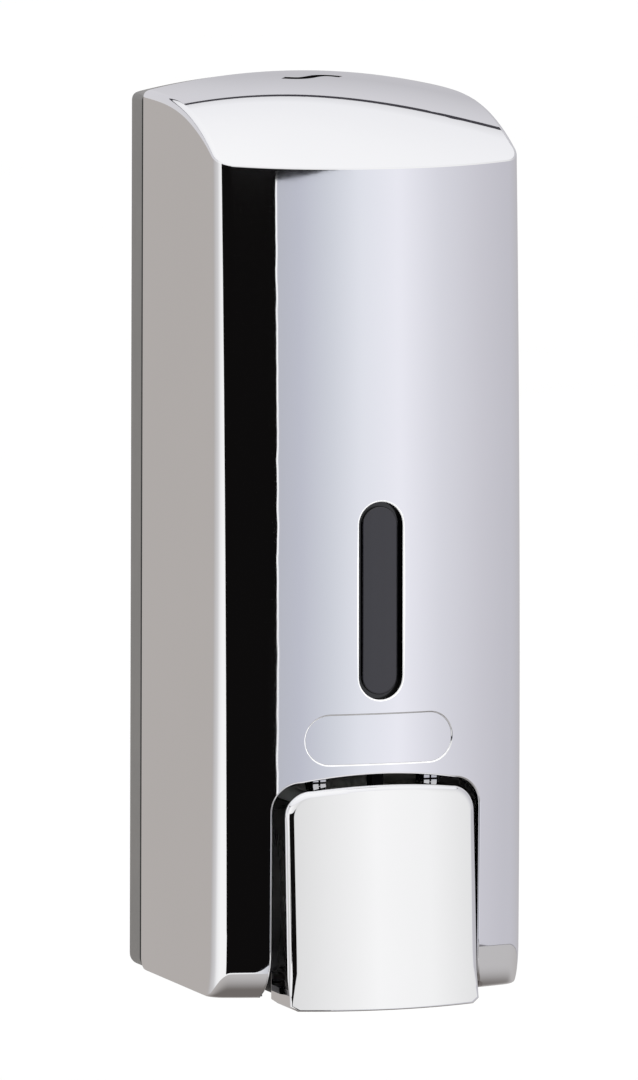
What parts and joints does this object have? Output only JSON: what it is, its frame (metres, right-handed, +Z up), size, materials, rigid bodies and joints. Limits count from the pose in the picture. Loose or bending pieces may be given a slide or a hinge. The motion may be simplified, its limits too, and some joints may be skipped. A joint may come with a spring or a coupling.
{
  "type": "wall soap dispenser",
  "caption": "Wall soap dispenser: a mirror-bright hinged cover over a refillable tank and a piston pump, worked by a wide push lever.",
  "frame": {"origin": "middle of the flat back face that lies on the wall", "axes": "+X to the right when looking at the front, +Y into the wall, +Z up"},
  "size_m": [0.081, 0.0854, 0.2279],
  "materials": {
    "plated_plastic": "mirror-bright chrome plating over moulded plastic",
    "grey_plastic": "fine satin grey",
    "smoked_plastic": "dark smoked, polished",
    "clear_plastic": "translucent, frosted",
    "white_plastic": "natural moulded white",
    "black_plastic": "fine moulded black",
    "rubber": "matt black rubber",
    "steel": "drawn stainless steel"
  },
  "bodies": {
    "back": {"back_plate": "grey_plastic", "soap_tank": "clear_plastic", "lid_hinge_pin": "steel", "neck_gasket": "rubber", "collar_nut": "white_plastic", "pump_body": "white_plastic", "pump_gland": "black_plastic", "pump_spring": "steel", "outlet_valve": "rubber", "outlet_nozzle": "black_plastic", "pump_screw_left": "steel", "pump_screw_right": "steel", "latch_bracket": "black_plastic", "bracket_screw_left": "steel", "bracket_screw_right": "steel", "latch_spring": "steel", "hinge_pin_left": "steel", "hinge_pin_right": "steel"},
    "cover": {"front_cover": "plated_plastic", "window_lens": "smoked_plastic", "name_plate": "plated_plastic", "lever_axle": "steel", "axle_clip_left": "steel", "axle_clip_right": "steel"},
    "lever": {"push_lever": "plated_plastic", "pusher_pad": "rubber"},
    "piston": {"piston_rod": "white_plastic", "piston_seal": "rubber", "plunger_button": "black_plastic"},
    "inlet_valve": {"inlet_ball": "steel"},
    "latch": {"lock_latch": "white_plastic", "latch_clip": "steel"},
    "lid": {"tank_lid": "white_plastic", "lid_seal": "rubber"}
  },
  "joints": [
    {"name": "cover_hinge", "type": "hinge", "parent": "back", "child": "cover", "pos_m": [0, -0.0134, -0.109], "axis": [1, 0, 0], "range_deg": [0, 90]},
    {"name": "lever_pivot", "type": "hinge", "parent": "cover", "child": "lever", "pos_m": [0, -0.0695, -0.0535], "axis": [1, 0, 0], "range_deg": [0, 10], "stiffness_Nm_per_rad": 0.9, "springref_deg": -6.88},
    {"name": "piston_slide", "type": "slide", "parent": "back", "child": "piston", "axis": [0, 1, 0], "range_m": [0, 0.0058], "deforming": ["pump_spring"]},
    {"name": "ball_lift", "type": "slide", "parent": "back", "child": "inlet_valve", "axis": [0, 0, 1], "range_m": [0, 0.002]},
    {"name": "latch_lift", "type": "slide", "parent": "back", "child": "latch", "axis": [0, 0, 1], "range_m": [0, 0.0038], "deforming": ["latch_spring"]},
    {"name": "lid_hinge", "type": "hinge", "parent": "back", "child": "lid", "pos_m": [0, -0.0306, 0.0802], "axis": [-1, 0, 0], "range_deg": [0, 70]}
  ],
  "couplings": [
    {"joint": "piston_slide", "follows": "lever_pivot", "m_per_rad": 0.033},
    {"joint": "lid_hinge", "follows": "cover_hinge", "ratio": 0.7777}
  ]
}
